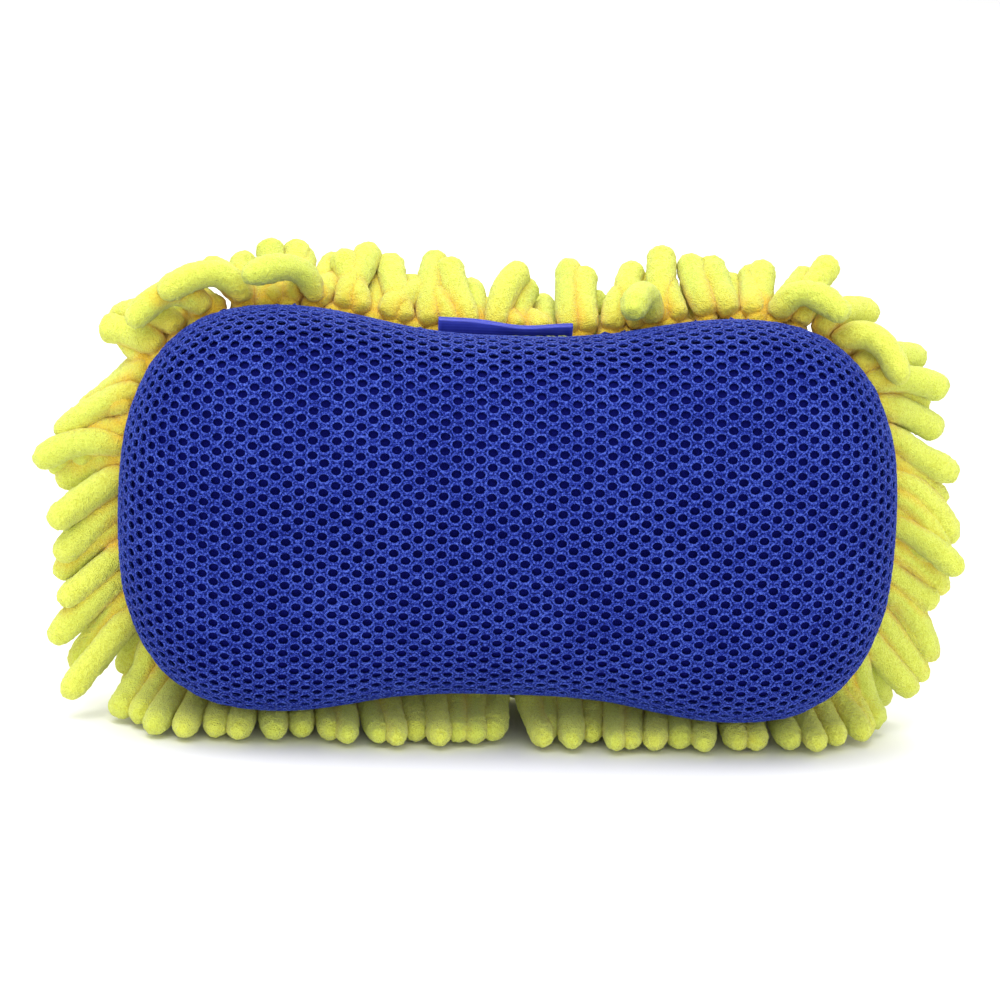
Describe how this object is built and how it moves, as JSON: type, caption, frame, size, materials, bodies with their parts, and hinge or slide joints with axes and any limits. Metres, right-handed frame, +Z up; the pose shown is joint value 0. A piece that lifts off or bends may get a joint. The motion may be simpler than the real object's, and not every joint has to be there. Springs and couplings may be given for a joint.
{
  "type": "wash pad",
  "caption": "Figure-eight wash pad: foam block under a blue air-mesh cover, yellow chenille finger pile sewn over its back, folded ribbon tab at the waist.",
  "frame": {"origin": "middle of the bounding box's footprint, on the floor that the pad stands on", "axes": "+Z up, +X to the right along the pad's length, the mesh face looks towards -Y and the chenille pile towards +Y"},
  "size_m": [0.247, 0.0768, 0.1303],
  "materials": {
    "air_mesh": "matte",
    "ribbon": "satin",
    "chenille": "matte",
    "base_cloth": "matte",
    "thread": "matte",
    "foam": "matte"
  },
  "bodies": {
    "pad": {"foam_core": "foam", "mesh_cover": "air_mesh", "chenille_backing": "base_cloth", "seam_thread": "thread", "edge_row_top": "chenille", "edge_row_right": "chenille", "edge_row_bottom": "chenille", "edge_row_left": "chenille", "upper_row": "chenille", "lower_row": "chenille"},
    "label": {"ribbon_label": "ribbon"},
    "pile_row_01": {"pile_row_01": "chenille"},
    "pile_row_02": {"pile_row_02": "chenille"},
    "pile_row_03": {"pile_row_03": "chenille"},
    "pile_row_04": {"pile_row_04": "chenille"},
    "pile_row_05": {"pile_row_05": "chenille"},
    "pile_row_06": {"pile_row_06": "chenille"}
  },
  "joints": [
    {"name": "label_flap", "type": "hinge", "parent": "pad", "child": "label", "pos_m": [-0.002, 0.00675, 0.1061], "axis": [1, 0, 0], "range_deg": [-30, 40], "stiffness_Nm_per_rad": 0.0005},
    {"name": "pile_lean_01", "type": "hinge", "parent": "pad", "child": "pile_row_01", "pos_m": [0, 0.01145, 0.0351], "axis": [1, 0, 0], "range_deg": [-15, 15], "stiffness_Nm_per_rad": 0.04},
    {"name": "pile_lean_02", "type": "hinge", "parent": "pad", "child": "pile_row_02", "pos_m": [0, 0.01145, 0.04526], "axis": [1, 0, 0], "range_deg": [-15, 15], "stiffness_Nm_per_rad": 0.04},
    {"name": "pile_lean_03", "type": "hinge", "parent": "pad", "child": "pile_row_03", "pos_m": [0, 0.01145, 0.05542], "axis": [1, 0, 0], "range_deg": [-15, 15], "stiffness_Nm_per_rad": 0.04},
    {"name": "pile_lean_04", "type": "hinge", "parent": "pad", "child": "pile_row_04", "pos_m": [0, 0.01145, 0.06558], "axis": [1, 0, 0], "range_deg": [-15, 15], "stiffness_Nm_per_rad": 0.04},
    {"name": "pile_lean_05", "type": "hinge", "parent": "pad", "child": "pile_row_05", "pos_m": [0, 0.01145, 0.07574], "axis": [1, 0, 0], "range_deg": [-15, 15], "stiffness_Nm_per_rad": 0.04},
    {"name": "pile_lean_06", "type": "hinge", "parent": "pad", "child": "pile_row_06", "pos_m": [0, 0.01145, 0.0859], "axis": [1, 0, 0], "range_deg": [-15, 15], "stiffness_Nm_per_rad": 0.04}
  ],
  "couplings": [
    {"joint": "pile_lean_01", "follows": "pile_lean_03", "ratio": 1},
    {"joint": "pile_lean_02", "follows": "pile_lean_03", "ratio": 1},
    {"joint": "pile_lean_04", "follows": "pile_lean_03", "ratio": 1},
    {"joint": "pile_lean_05", "follows": "pile_lean_03", "ratio": 1},
    {"joint": "pile_lean_06", "follows": "pile_lean_03", "ratio": 1}
  ]
}
